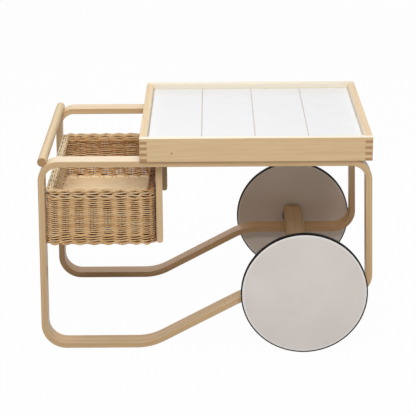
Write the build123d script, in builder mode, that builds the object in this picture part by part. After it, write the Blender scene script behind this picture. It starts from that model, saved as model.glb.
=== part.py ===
from build123d import *

import os
from math import cos, hypot, radians, sin, tan

# Tea trolley: two closed bentwood loops carry a tiled tray, a wicker basket and a pair of disc wheels.
# Millimetres. +Z is up and the floor is z = 0. The push handle is at -X and the wheels are at +X.
# Right is -Y and left is +Y, as seen by someone who stands behind the handle.
SIDES = (("right", -1), ("left", 1))

# Overall sizes
overall_length = 900.0
overall_width = 650.0  # over the wheels
overall_height = 600.0  # floor to the tray's rim

# Bent loops: one flat lamella each, bent into a closed ring
lamella_thickness = 17.0
lamella_width = 50.0
lamella_edge_radius = 2.0
loop_to_disc_gap = 23.0  # loop's outer side face to the wheel's disc
foot_corner_radius = 68.0
handle_corner_radius = 55.0
wheel_foot_corner_radius = 65.0
wheel_top_corner_radius = 56.0
handle_post_lean = 8.5  # how far the post by the handle leans in over its height
wheel_post_lean = 10.5  # the same for the post above the wheels
skid_length = 300.0  # floor run, from the loop's end to where the ramp starts
ramp_angle = 28.3
skid_bend_radius = 160.0
ramp_bend_radius = 150.0

# Wheels
wheel_radius = 171.0
wheel_inset = 185.0  # wheels' axis to the loops' end
disc_thickness = 14.0
disc_edge_radius = 1.5
tyre_thickness = 3.2
tyre_width = 13.0
tyre_edge_radius = 0.9
tyre_rib_width = 4.0
tyre_rib_depth = 4.0

# Axle beam, notched over the lower rails of the loops
beam_width = 54.0
beam_height = 72.0
beam_edge_radius = 12.0
rail_below_axle = 9.0  # top of the lower rails, below the wheels' axis
beam_end_gap = 7.0  # beam end to the disc's inner face

# Stub axles and their bearings
axle_radius = 6.0
axle_tail = 12.0  # length past the retaining screw
axle_shoulder_radius = 11.0
axle_groove_depth = 1.5
flange_radius = 32.0
flange_thickness = 3.0
flange_screw_circle = 22.0
flange_screw_count = 4
flange_screw_length = 9.0
bush_wall = 2.0
bush_flange_radius = 14.0
bush_flange_thickness = 2.5
washer_thickness = 2.0
washer_radius = 13.0
retainer_radius = 3.0
retainer_to_loop = 12.0  # retaining screw's axis to the loop's inner side face

# Push handle
handle_radius = 12.5
handle_setback = 8.0  # ends, inside the loops' outer faces
handle_angle = 50.0  # where it sits round the bend, above the horizontal
handle_seat_depth = 1.0
handle_edge_radius = 1.5

# Tray
tray_length = 613.5
tray_overhang = 8.0  # tray's sides past the loops
board_height = 64.0
board_thickness = 20.0
board_edge_radius = 1.2  # eased top edges
tray_corner_radius = 2.5
finger_count = 8
tile_recess = 16.0  # rim to tile face
tile_thickness = 8.0
tile_count = 4
tile_edge_radius = 1.0
joint_width = 2.0
joint_sink = 1.0  # joint filler below the tile face
panel_thickness = 12.0
panel_groove_depth = 6.0
tongue_setback = 12.0  # grooves and tongues stop this far from the tray's inner corners
bearer_thickness = 18.0

# Hanging slats
hanger_thickness = 17.0
hanger_depth = 25.0
hanger_end_radius = 7.0
hanger_below_basket = 5.0
hanger_inset = 39.5  # tray's end to the slats

# Basket
basket_inset = 16.0  # basket's ends to the loops' outer side faces
basket_height = 159.0
basket_drop = 84.0  # tray underside to the top of the basket's rim
basket_corner_radius = 24.0
basket_wall_thickness = 11.5  # over the weave's crests
weave_relief = 3.6  # how far the weave falls back between stakes, on either face
short_side_stakes = 8
long_side_stakes = 14
end_gap_share = 0.74  # first and last gap of a side, to its other gaps
rim_overhang = 0.5
rim_width = 20.0
rim_height = 20.0
rim_edge_radius = 7.0
border_width = 20.0
border_height = 16.0
border_edge_radius = 5.0
base_board_thickness = 6.0
strap_thickness = 2.0
strap_width = 18.0
strap_foot_length = 24.0
strap_above_rim = 4.0

# Wood screws
screw_radius = 2.0
screw_head_radius = 4.0
screw_tip_length = 5.0
screw_head_relief = 1.5  # hole above a sunk head
drive_slot_length = 4.6
drive_slot_width = 0.9
drive_slot_depth = 1.0
tray_screw_length = 34.0
beam_screw_length = 38.0
handle_screw_length = 31.0
hanger_screw_length = 31.0
basket_screw_length = 33.0
strap_screw_length = 14.0

# Clearances
glue_gap = 0.05  # round seats, dowel and sunk pieces that do not move
screw_gap = 0.05
running_gap = 0.05  # axle in its bush, on the radius
end_play = 0.2  # between faces that turn on each other
basket_gap = 0.4  # soft basket to what stands beside it
board_play = 0.5  # base board inside the woven wall

# Places worked out from the sizes above
half_length = overall_length / 2
tray_bottom_z = overall_height - board_height
disc_outer_y = overall_width / 2
disc_inner_y = disc_outer_y - disc_thickness
loop_outer_y = disc_inner_y - loop_to_disc_gap
loop_inner_y = loop_outer_y - lamella_width
loop_mid_y = loop_outer_y - lamella_width / 2
rail_bottom_z = tray_bottom_z - lamella_thickness
axle_z = wheel_radius
lower_rail_top_z = axle_z - rail_below_axle
lower_rail_bottom_z = lower_rail_top_z - lamella_thickness

# Each post's slope, and the loop's corner points, so that the bent corners end at the overall length
handle_slope = handle_post_lean / tray_bottom_z
wheel_slope = wheel_post_lean / (tray_bottom_z - lower_rail_bottom_z)
foot_x = -half_length - handle_slope * foot_corner_radius
handle_top_x = foot_x + handle_post_lean
wheel_foot_x = half_length + wheel_slope * wheel_foot_corner_radius
wheel_top_x = wheel_foot_x - wheel_post_lean
skid_end_x = -half_length + skid_length
ramp_end_x = skid_end_x + lower_rail_bottom_z / tan(radians(ramp_angle))
loop_corners = [
    (foot_x, 0),
    (skid_end_x, 0),
    (ramp_end_x, lower_rail_bottom_z),
    (wheel_foot_x, lower_rail_bottom_z),
    (wheel_top_x, tray_bottom_z),
    (handle_top_x, tray_bottom_z),
]
loop_radii = [
    foot_corner_radius,
    skid_bend_radius,
    ramp_bend_radius,
    wheel_foot_corner_radius,
    wheel_top_corner_radius,
    handle_corner_radius,
]

# The bend that carries the handle, and the handle's own axis
bend_z = tray_bottom_z - handle_corner_radius
bend_x = foot_x + handle_slope * bend_z + handle_corner_radius * hypot(1, handle_slope)
handle_reach = handle_corner_radius + handle_radius - handle_seat_depth
handle_way = (-cos(radians(handle_angle)), 0, sin(radians(handle_angle)))
handle_x = bend_x + handle_reach * handle_way[0]
handle_z = bend_z + handle_reach * handle_way[2]

# Tray, flush with the top of the post above the wheels
tray_end_x = wheel_top_x
tray_start_x = tray_end_x - tray_length
tray_mid_x = (tray_start_x + tray_end_x) / 2
tray_width = 2 * (loop_outer_y + tray_overhang)
field_length = tray_length - 2 * board_thickness
field_width = tray_width - 2 * board_thickness
board_mid_y = (tray_width - board_thickness) / 2
tile_top_z = overall_height - tile_recess
panel_top_z = tile_top_z - tile_thickness
panel_bottom_z = panel_top_z - panel_thickness
panel_mid_z = panel_bottom_z + panel_thickness / 2
finger_height = board_height / finger_count

# Basket, between the posts by the handle and the hanging slats
rim_top_z = tray_bottom_z - basket_drop
rim_bottom_z = rim_top_z - rim_height
rim_mid_z = rim_bottom_z + rim_height / 2
border_bottom_z = rim_top_z - basket_height
border_top_z = border_bottom_z + border_height
post_inner_x = foot_x + handle_slope * rim_top_z + lamella_thickness * hypot(1, handle_slope)
hanger_start_x = tray_start_x + hanger_inset
basket_start_x = post_inner_x + basket_gap
basket_end_x = hanger_start_x - strap_thickness - basket_gap
basket_mid_x = (basket_start_x + basket_end_x) / 2
basket_length = basket_end_x - basket_start_x
basket_width = 2 * (loop_outer_y - basket_inset)
wall_length = basket_length - 2 * rim_overhang
wall_width = basket_width - 2 * rim_overhang
hanger_end_x = hanger_start_x + hanger_thickness
hanger_mid_x = (hanger_start_x + hanger_end_x) / 2
hanger_mid_y = loop_inner_y - hanger_depth / 2
hanger_bottom_z = border_bottom_z - hanger_below_basket
bearer_mid_x = hanger_end_x + bearer_thickness / 2

# Beam and bearings
wheel_center_x = half_length - wheel_inset
disc_radius = wheel_radius - tyre_thickness
beam_end_y = disc_inner_y - beam_end_gap
beam_bottom_z = axle_z - beam_height / 2
bush_radius = axle_radius + running_gap + bush_wall
retainer_y = loop_inner_y - retainer_to_loop
axle_engagement = beam_end_y - retainer_y + axle_tail
bush_depth = axle_engagement + end_play
washer_inner_y = beam_end_y + bush_flange_thickness
washer_outer_y = washer_inner_y + washer_thickness
groove_radius = axle_radius - axle_groove_depth

os.makedirs("parts", exist_ok=True)


def write(piece, name):
    piece.label = name
    export_step(piece, f"parts/{name}.step")


def wood_screw(length, gap=0.0):
    # Countersunk screw that points along -Z, with the head's flat at z = 0. With a gap it is the screw's hole.
    shank = screw_radius + gap
    head = screw_head_radius + gap
    outline = [(head, 0), (shank, shank - head), (shank, screw_tip_length - length), (0, -length - gap)]
    top = [(0, screw_head_relief), (head, screw_head_relief)] if gap else [(0, 0)]
    with BuildPart() as screw:
        with BuildSketch(Plane.XZ):
            with BuildLine():
                Polyline(*top, *outline, close=True)
            make_face()
        revolve(axis=Axis.Z)
        if not gap:
            with BuildSketch():
                Rectangle(drive_slot_length, drive_slot_width)
                Rectangle(drive_slot_width, drive_slot_length)
            extrude(amount=-drive_slot_depth, mode=Mode.SUBTRACT)
    return screw.part


def facing(x, y, z, way):
    # A place whose local +Z points along way: a screw put there is driven the opposite way
    return Plane(origin=(x, y, z), z_dir=way).location


# Screw places: each is where the middle of the head's flat lies
handle_inner_radius = handle_corner_radius - lamella_thickness
handle_screw_places = [
    facing(
        bend_x + handle_inner_radius * handle_way[0],
        side * loop_mid_y,
        bend_z + handle_inner_radius * handle_way[2],
        [-part for part in handle_way],
    )
    for _, side in SIDES
]
rail_flat_y = loop_outer_y - lamella_edge_radius
board_seat_y = (rail_flat_y + tray_width / 2 - board_thickness) / 2
long_board_screw_xs = [tray_mid_x + step * field_length / 3 for step in (-0.5, 0.25, 1)]
tray_screw_places = [
    facing(x, side * board_seat_y, rail_bottom_z, (0, 0, -1)) for _, side in SIDES for x in long_board_screw_xs
]
tray_screw_places += [
    facing(x, side * loop_mid_y, rail_bottom_z, (0, 0, -1))
    for _, side in SIDES
    for x in (tray_start_x + board_thickness / 2, bearer_mid_x)
]
beam_screw_offset = (bush_radius + beam_width / 2) / 2
beam_screw_places = [
    facing(wheel_center_x + step * beam_screw_offset, side * loop_mid_y, lower_rail_bottom_z, (0, 0, -1))
    for _, side in SIDES
    for step in (-1, 1)
]
hanger_screw_places = [
    facing(hanger_start_x, side * hanger_mid_y, tray_bottom_z + share * (panel_bottom_z - tray_bottom_z), (-1, 0, 0))
    for _, side in SIDES
    for share in (0.25, 0.75)
]
post_screw_y = (loop_inner_y + basket_width / 2) / 2
basket_screw_places = [
    facing(basket_start_x + rim_width, side * post_screw_y, rim_mid_z, (1, 0, 0)) for _, side in SIDES
]
basket_screw_places += [
    facing(basket_end_x - rim_width, side * hanger_mid_y, rim_mid_z, (-1, 0, 0)) for _, side in SIDES
]
strap_top_z = rim_top_z + strap_above_rim
strap_bottom_z = border_bottom_z - strap_thickness
strap_screw_places = [
    facing(hanger_start_x - strap_thickness, side * hanger_mid_y, z, (-1, 0, 0))
    for _, side in SIDES
    for z in (border_top_z + screw_head_radius, rim_bottom_z - rim_height)
]

tray_screw_hole = wood_screw(tray_screw_length, screw_gap)
beam_screw_hole = wood_screw(beam_screw_length, screw_gap)
handle_screw_hole = wood_screw(handle_screw_length, screw_gap)
hanger_screw_hole = wood_screw(hanger_screw_length, screw_gap)
basket_screw_hole = wood_screw(basket_screw_length, screw_gap)
strap_screw_hole = wood_screw(strap_screw_length, screw_gap)
flange_screw_hole = wood_screw(flange_screw_length, screw_gap)

for name, length, places in (
    ("handle_screws", handle_screw_length, handle_screw_places),
    ("tray_screws", tray_screw_length, tray_screw_places),
    ("axle_beam_screws", beam_screw_length, beam_screw_places),
    ("hanger_screws", hanger_screw_length, hanger_screw_places),
    ("basket_screws", basket_screw_length, basket_screw_places),
    ("strap_screws", strap_screw_length, strap_screw_places),
):
    with BuildPart() as screws:
        with Locations(*places):
            add(wood_screw(length))
    write(screws.part, name)

# Bent loops
for name, side in SIDES:
    with BuildPart() as loop:
        with BuildSketch(Plane.XZ.offset(-side * loop_mid_y - lamella_width / 2)):
            with BuildLine():
                FilletPolyline(*loop_corners, radius=loop_radii, close=True)
            make_face()
            offset(amount=-lamella_thickness, kind=Kind.ARC, mode=Mode.SUBTRACT)
        extrude(amount=lamella_width)
        fillet(loop.faces().filter_by(Axis.Y).edges(), lamella_edge_radius)
        with Locations(*handle_screw_places):
            add(handle_screw_hole, mode=Mode.SUBTRACT)
        with Locations(*tray_screw_places):
            add(tray_screw_hole, mode=Mode.SUBTRACT)
        with Locations(*beam_screw_places):
            add(beam_screw_hole, mode=Mode.SUBTRACT)
        with Locations(*basket_screw_places):
            add(basket_screw_hole, mode=Mode.SUBTRACT)
    write(loop.part, f"{name}_frame_loop")

# Push handle: a dowel, coved where it sits on the bends
handle_length = 2 * (loop_outer_y - handle_setback)
with BuildPart() as push_handle:
    with BuildSketch(Plane.XZ.offset(-handle_length / 2)):
        with Locations((handle_x, handle_z)):
            Circle(handle_radius)
    extrude(amount=handle_length)
    fillet(push_handle.faces().filter_by(Axis.Y).edges(), handle_edge_radius)
    for _, side in SIDES:
        with BuildSketch(Plane.XZ.offset(-side * loop_mid_y - lamella_width / 2 - glue_gap)):
            with Locations((bend_x, bend_z)):
                Circle(handle_corner_radius + glue_gap)
        extrude(amount=lamella_width + 2 * glue_gap, mode=Mode.SUBTRACT)
    with Locations(*handle_screw_places):
        add(handle_screw_hole, mode=Mode.SUBTRACT)
write(push_handle.part, "push_handle")

# Tray boards: fingers at the corners and a groove for the base panel inside
odd_fingers = [overall_height - (band + 0.5) * finger_height for band in range(0, finger_count, 2)]
even_fingers = [overall_height - (band + 0.5) * finger_height for band in range(1, finger_count, 2)]
corner_x = field_length / 2 + board_thickness / 2
long_tongue = field_length - 2 * tongue_setback
end_tongue = field_width - 2 * tongue_setback

for name, side in SIDES:
    with BuildPart() as long_board:
        with Locations((tray_mid_x, side * board_mid_y, overall_height - board_height / 2)):
            Box(tray_length, board_thickness, board_height)
        outer = 0 if side < 0 else -1
        fillet(long_board.edges().filter_by(Axis.Z).group_by(Axis.Y)[outer], tray_corner_radius)
        fillet(long_board.edges().filter_by(Axis.X).group_by(Axis.Z)[-1], board_edge_radius)
        with Locations(
            *[(tray_mid_x + end * corner_x, side * board_mid_y, z) for end in (-1, 1) for z in even_fingers]
        ):
            Box(board_thickness, board_thickness, finger_height, mode=Mode.SUBTRACT)
        with Locations((tray_mid_x, side * field_width / 2, panel_mid_z)):
            Box(long_tongue, 2 * panel_groove_depth, panel_thickness, mode=Mode.SUBTRACT)
        with Locations(*tray_screw_places):
            add(tray_screw_hole, mode=Mode.SUBTRACT)
    write(long_board.part, f"tray_{name}_board")

for name, end in (("handle_end", -1), ("wheel_end", 1)):
    with BuildPart() as end_board:
        with Locations((tray_mid_x + end * corner_x, 0, overall_height - board_height / 2)):
            Box(board_thickness, tray_width, board_height)
        outer = 0 if end < 0 else -1
        fillet(end_board.edges().filter_by(Axis.Z).group_by(Axis.X)[outer], tray_corner_radius)
        fillet(end_board.edges().filter_by(Axis.Y).group_by(Axis.Z)[-1], board_edge_radius)
        with Locations(
            *[(tray_mid_x + end * corner_x, side * board_mid_y, z) for _, side in SIDES for z in odd_fingers]
        ):
            Box(board_thickness, board_thickness, finger_height, mode=Mode.SUBTRACT)
        with Locations((tray_mid_x + end * field_length / 2, 0, panel_mid_z)):
            Box(2 * panel_groove_depth, end_tongue, panel_thickness, mode=Mode.SUBTRACT)
        with Locations(*tray_screw_places):
            add(tray_screw_hole, mode=Mode.SUBTRACT)
    write(end_board.part, f"tray_{name}_board")

# Base panel: its tongues fill the grooves
with BuildPart() as base_panel:
    with BuildSketch(Plane.XY.offset(panel_bottom_z)):
        with Locations((tray_mid_x, 0)):
            Rectangle(field_length, field_width)
            Rectangle(field_length + 2 * panel_groove_depth, end_tongue)
            Rectangle(long_tongue, field_width + 2 * panel_groove_depth)
    extrude(amount=panel_thickness)
write(base_panel.part, "tray_base_panel")

# Cross bearer under the panel, on top of both loops
with BuildPart() as bearer:
    with Locations((bearer_mid_x, 0, (tray_bottom_z + panel_bottom_z) / 2)):
        Box(bearer_thickness, field_width, panel_bottom_z - tray_bottom_z)
    with Locations(*tray_screw_places):
        add(tray_screw_hole, mode=Mode.SUBTRACT)
    with Locations(*hanger_screw_places):
        add(hanger_screw_hole, mode=Mode.SUBTRACT)
write(bearer.part, "tray_cross_bearer")

# Tiles in one row, with filler between and around them
tile_pitch = (field_length - joint_width) / tile_count
tile_length = tile_pitch - joint_width
tile_width = field_width - 2 * joint_width
tile_xs = [tray_mid_x + (index - (tile_count - 1) / 2) * tile_pitch for index in range(tile_count)]
for index, x in enumerate(tile_xs):
    with BuildPart() as tile:
        with Locations((x, 0, panel_top_z + tile_thickness / 2)):
            Box(tile_length, tile_width, tile_thickness)
        fillet(tile.faces().sort_by(Axis.Z)[-1].edges(), tile_edge_radius)
    write(tile.part, f"tile_{index + 1}")

with BuildPart() as joint_filler:
    with BuildSketch(Plane.XY.offset(panel_top_z)):
        with Locations((tray_mid_x, 0)):
            Rectangle(field_length, field_width)
        with Locations(*[(x, 0) for x in tile_xs]):
            Rectangle(tile_length, tile_width, mode=Mode.SUBTRACT)
    extrude(amount=tile_thickness - joint_sink)
write(joint_filler.part, "tile_joint_filler")

# Hanging slats against the loops' inner faces, screwed to the bearer
for name, side in SIDES:
    with BuildPart() as hanger:
        with BuildSketch(Plane.XZ.offset(-side * hanger_mid_y - hanger_depth / 2)) as slat:
            with Locations((hanger_mid_x, (hanger_bottom_z + panel_bottom_z) / 2)):
                Rectangle(hanger_thickness, panel_bottom_z - hanger_bottom_z)
            fillet(slat.vertices().group_by(Axis.Z)[0], hanger_end_radius)
        extrude(amount=hanger_depth)
        for hole, places in (
            (hanger_screw_hole, hanger_screw_places),
            (basket_screw_hole, basket_screw_places),
            (strap_screw_hole, strap_screw_places),
        ):
            with Locations(*places):
                add(hole, mode=Mode.SUBTRACT)
    write(hanger.part, f"basket_hanger_{name}")

# Black straps on the slats, with a foot under the basket
with BuildPart() as straps:
    for _, side in SIDES:
        with BuildSketch(Plane.XZ.offset(-side * hanger_mid_y - strap_width / 2)):
            with BuildLine():
                Polyline(
                    (hanger_start_x, strap_top_z),
                    (hanger_start_x, strap_bottom_z),
                    (hanger_start_x - strap_foot_length, strap_bottom_z),
                    (hanger_start_x - strap_foot_length, strap_bottom_z + strap_thickness),
                    (hanger_start_x - strap_thickness, strap_bottom_z + strap_thickness),
                    (hanger_start_x - strap_thickness, strap_top_z),
                    close=True,
                )
            make_face()
        extrude(amount=strap_width)
    for hole, places in ((basket_screw_hole, basket_screw_places), (strap_screw_hole, strap_screw_places)):
        with Locations(*places):
            add(hole, mode=Mode.SUBTRACT)
write(straps.part, "basket_straps")

# Basket: foot border, woven wall, rim and base board
wall_corner_radius = basket_corner_radius - rim_overhang


def ring(z, height, outset, width):
    # Rounded rectangular ring whose outside stands outset beyond the woven wall
    with BuildPart() as band:
        with BuildSketch(Plane.XY.offset(z)):
            with Locations((basket_mid_x, 0)):
                RectangleRounded(wall_length + 2 * outset, wall_width + 2 * outset, wall_corner_radius + outset)
                RectangleRounded(
                    wall_length + 2 * (outset - width),
                    wall_width + 2 * (outset - width),
                    wall_corner_radius + outset - width,
                    mode=Mode.SUBTRACT,
                )
        extrude(amount=height)
    return band.part


with BuildPart() as border:
    add(ring(border_bottom_z, border_height, rim_overhang, border_width))
    fillet(border.faces().sort_by(Axis.Z)[0].outer_wire().edges(), border_edge_radius)
write(border.part, "basket_foot_border")


def stakes_along(length, count):
    # Places of one side's stakes, from the middle of the side
    gap = length / (count - 3 + 2 * end_gap_share)
    inner = [(index - (count - 3) / 2) * gap for index in range(count - 2)]
    return [-length / 2, *inner, length / 2]


def weave_outline(crest, dip):
    # Closed line of arcs round the basket: out to crest at each stake and back to dip between, from the stakes' own line
    bend = wall_corner_radius - basket_wall_thickness / 2
    half_sides = (wall_length / 2 - wall_corner_radius, wall_width / 2 - wall_corner_radius)
    crests, dips = [], []
    for side in range(4):
        half, reach = half_sides[side % 2], half_sides[1 - side % 2] + bend
        stakes = stakes_along(2 * half, (short_side_stakes, long_side_stakes)[side % 2])
        corner = (bend + dip) * sin(radians(45))
        side_crests = [(place, -reach - crest) for place in stakes]
        side_dips = [((here + after) / 2, -reach - dip) for here, after in zip(stakes, stakes[1:])]
        side_dips.append((half + corner, bend - reach - corner))
        middle = Vector(basket_mid_x, 0)
        crests += [middle + Vector(*spot).rotate(Axis.Z, 90 * side) for spot in side_crests]
        dips += [middle + Vector(*spot).rotate(Axis.Z, 90 * side) for spot in side_dips]
    for index, top in enumerate(crests):
        ThreePointArc(dips[index - 1], top, dips[index])


# The wall's two faces swell over every stake, as the weave does
half_wall = basket_wall_thickness / 2
dip_depth = half_wall - weave_relief
with BuildPart() as wall:
    with BuildSketch(Plane.XY.offset(border_top_z)):
        with BuildLine():
            weave_outline(half_wall, dip_depth)
        make_face()
        with BuildLine():
            weave_outline(-half_wall, -dip_depth)
        make_face(mode=Mode.SUBTRACT)
    extrude(amount=rim_bottom_z - border_top_z)
write(wall.part, "basket_woven_wall")

with BuildPart() as rim:
    add(ring(rim_bottom_z, rim_height, rim_overhang, rim_width))
    fillet(rim.faces().sort_by(Axis.Z)[-1].edges(), rim_edge_radius)
    with Locations(*basket_screw_places):
        add(basket_screw_hole, mode=Mode.SUBTRACT)
write(rim.part, "basket_rim")

with BuildPart() as base_board:
    inside = 2 * (basket_wall_thickness + board_play)
    with BuildSketch(Plane.XY.offset(border_top_z)):
        with Locations((basket_mid_x, 0)):
            RectangleRounded(wall_length - inside, wall_width - inside, wall_corner_radius - inside / 2)
    extrude(amount=base_board_thickness)
write(base_board.part, "basket_base_board")

# Axle beam: notched over the lower rails and bored for the bushes
beam_ends = [facing(wheel_center_x, side * beam_end_y, axle_z, (0, side, 0)) for _, side in SIDES]
retainer_length = axle_z - groove_radius - end_play - beam_bottom_z
retainer_places = {name: facing(wheel_center_x, side * retainer_y, beam_bottom_z, (0, 0, -1)) for name, side in SIDES}
with BuildPart() as beam:
    with BuildSketch(Plane.XZ.offset(-beam_end_y)):
        with Locations((wheel_center_x, axle_z)):
            RectangleRounded(beam_width, beam_height, beam_edge_radius)
    extrude(amount=2 * beam_end_y)
    with Locations(*[(wheel_center_x, side * loop_mid_y, lower_rail_top_z) for _, side in SIDES]):
        Box(
            beam_width,
            lamella_width,
            lower_rail_top_z - beam_bottom_z,
            align=(Align.CENTER, Align.CENTER, Align.MAX),
            mode=Mode.SUBTRACT,
        )
    with Locations(*beam_ends):
        Hole(bush_radius + glue_gap, bush_depth)
    with Locations(*retainer_places.values()):
        Hole(retainer_radius + screw_gap, retainer_length)
    with Locations(*beam_screw_places):
        add(beam_screw_hole, mode=Mode.SUBTRACT)
write(beam.part, "axle_beam")

# Wheels and bearings, one set a side
for (name, side), beam_end in zip(SIDES, beam_ends):
    outer_face = Plane(origin=(wheel_center_x, side * disc_outer_y, axle_z), x_dir=(1, 0, 0), z_dir=(0, side, 0))
    inner_face = outer_face.offset(-disc_thickness)
    mid_plane = outer_face.offset(-disc_thickness / 2)
    flange_screw_spots = PolarLocations(flange_screw_circle, flange_screw_count)
    flange_screw_places = [
        inner_face.location * Location((0, 0, 0), (180, 0, 0)) * spot for spot in flange_screw_spots.locations
    ]

    with BuildPart() as disc:
        with BuildSketch(inner_face):
            Circle(disc_radius)
        extrude(amount=disc_thickness)
        fillet(disc.faces().filter_by(Axis.Y).edges(), disc_edge_radius)
        with BuildSketch(mid_plane):
            Circle(disc_radius)
            Circle(disc_radius - tyre_rib_depth, mode=Mode.SUBTRACT)
        extrude(amount=tyre_rib_width / 2, both=True, mode=Mode.SUBTRACT)
        with BuildSketch(inner_face):
            Circle(flange_radius + glue_gap)
        extrude(amount=flange_thickness, mode=Mode.SUBTRACT)
        with Locations(*flange_screw_places):
            add(flange_screw_hole, mode=Mode.SUBTRACT)
    write(disc.part, f"{name}_wheel_disc")

    with BuildPart() as tyre:
        with BuildSketch(mid_plane):
            Circle(wheel_radius)
            Circle(disc_radius + glue_gap, mode=Mode.SUBTRACT)
        extrude(amount=tyre_width / 2, both=True)
        tread_edges = tyre.edges().filter_by(GeomType.CIRCLE).group_by(SortBy.RADIUS)[-1]
        fillet(tread_edges, tyre_edge_radius)
        with BuildSketch(mid_plane):
            Circle(disc_radius + glue_gap)
            Circle(disc_radius - tyre_rib_depth + glue_gap, mode=Mode.SUBTRACT)
        extrude(amount=tyre_rib_width / 2, both=True)
    write(tyre.part, f"{name}_wheel_tyre")

    # Flange in the disc, shoulder beside the washer, and the axle with its retaining groove
    shoulder_length = disc_inner_y - washer_outer_y - end_play
    axle_length = disc_inner_y - beam_end_y + axle_engagement
    groove_start = disc_inner_y - retainer_y - retainer_radius - end_play
    groove_end = disc_inner_y - retainer_y + retainer_radius + end_play
    with BuildPart() as stub_axle:
        with BuildSketch(inner_face):
            Circle(flange_radius)
        extrude(amount=flange_thickness)
        with BuildSketch(inner_face):
            Circle(axle_shoulder_radius)
        extrude(amount=-shoulder_length)
        with BuildSketch(inner_face):
            Circle(axle_radius)
        extrude(amount=-axle_length)
        with BuildSketch(inner_face.offset(-groove_end)):
            Circle(axle_radius)
            Circle(groove_radius, mode=Mode.SUBTRACT)
        extrude(amount=groove_end - groove_start, mode=Mode.SUBTRACT)
        with Locations(*flange_screw_places):
            add(flange_screw_hole, mode=Mode.SUBTRACT)
    write(stub_axle.part, f"{name}_stub_axle")

    with BuildPart() as flange_screws:
        with Locations(*flange_screw_places):
            add(wood_screw(flange_screw_length))
    write(flange_screws.part, f"{name}_flange_screws")

    with BuildPart() as bush:
        with BuildSketch(Plane(beam_end)):
            Circle(bush_flange_radius)
        extrude(amount=bush_flange_thickness)
        with BuildSketch(Plane(beam_end)):
            Circle(bush_radius)
        extrude(amount=-bush_depth)
        with Locations(Plane(beam_end).offset(bush_flange_thickness).location):
            Hole(axle_radius + running_gap, bush_flange_thickness + bush_depth)
        with Locations(retainer_places[name]):
            Hole(retainer_radius + screw_gap, retainer_length)
    write(bush.part, f"{name}_axle_bush")

    with BuildPart() as washer:
        with BuildSketch(Plane(beam_end).offset(bush_flange_thickness)):
            Circle(washer_radius)
            Circle(axle_radius + running_gap, mode=Mode.SUBTRACT)
        extrude(amount=washer_thickness)
    write(washer.part, f"{name}_thrust_washer")

    with BuildPart() as retainer:
        with BuildSketch(Plane(retainer_places[name])):
            Circle(retainer_radius)
        extrude(amount=-retainer_length)
        with BuildSketch(Plane(retainer_places[name])):
            RegularPolygon(retainer_radius / 2, 6)
        extrude(amount=-retainer_radius, mode=Mode.SUBTRACT)
    write(retainer.part, f"{name}_retaining_screw")
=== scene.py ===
import math
import random

import bpy
from mathutils import Matrix, Vector, noise


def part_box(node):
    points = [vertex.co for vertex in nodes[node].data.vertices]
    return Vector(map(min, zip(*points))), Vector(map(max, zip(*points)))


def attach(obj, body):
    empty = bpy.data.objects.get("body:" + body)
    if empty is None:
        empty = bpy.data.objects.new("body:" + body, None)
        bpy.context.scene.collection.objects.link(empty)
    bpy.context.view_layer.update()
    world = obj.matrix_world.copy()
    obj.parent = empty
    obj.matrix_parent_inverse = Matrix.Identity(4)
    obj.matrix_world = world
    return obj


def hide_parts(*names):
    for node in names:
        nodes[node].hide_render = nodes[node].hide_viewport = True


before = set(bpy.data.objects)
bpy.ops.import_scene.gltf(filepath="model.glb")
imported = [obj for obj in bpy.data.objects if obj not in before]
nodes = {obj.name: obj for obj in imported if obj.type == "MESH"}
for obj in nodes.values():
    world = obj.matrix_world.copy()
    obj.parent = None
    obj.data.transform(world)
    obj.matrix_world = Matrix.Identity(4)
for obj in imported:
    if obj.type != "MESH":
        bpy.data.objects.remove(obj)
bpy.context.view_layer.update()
mm = 0.001


# Shader maths: a Wire is one socket, and sums of Wires add Math nodes
class Wire:
    def __init__(self, finish, socket):
        self.finish = finish
        self.socket = socket

    def maths(self, operation, *values):
        return self.finish.node("ShaderNodeMath", {"operation": operation}, dict(enumerate(values)))

    def __add__(self, other):
        return self.maths("ADD", self, other)

    def __radd__(self, other):
        return self.maths("ADD", other, self)

    def __sub__(self, other):
        return self.maths("SUBTRACT", self, other)

    def __rsub__(self, other):
        return self.maths("SUBTRACT", other, self)

    def __mul__(self, other):
        return self.maths("MULTIPLY", self, other)

    def __rmul__(self, other):
        return self.maths("MULTIPLY", other, self)

    def __truediv__(self, other):
        return self.maths("DIVIDE", self, other)

    def __rtruediv__(self, other):
        return self.maths("DIVIDE", other, self)

    def __abs__(self):
        return self.maths("ABSOLUTE", self)

    def least(self, other):
        return self.maths("MINIMUM", self, other)

    def most(self, other):
        return self.maths("MAXIMUM", self, other)

    def called(self, operation, other=0.0):
        # any other Math operation, such as SQRT, FRACT, FLOOR or ARCTAN2
        return self.maths(operation, self, other)

    def step(self, low, high):
        # 0 at low, 1 at high, eased between
        return self.finish.node("ShaderNodeMapRange", {"interpolation_type": "SMOOTHSTEP"},
                                {"Value": self, "From Min": low, "From Max": high})


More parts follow.
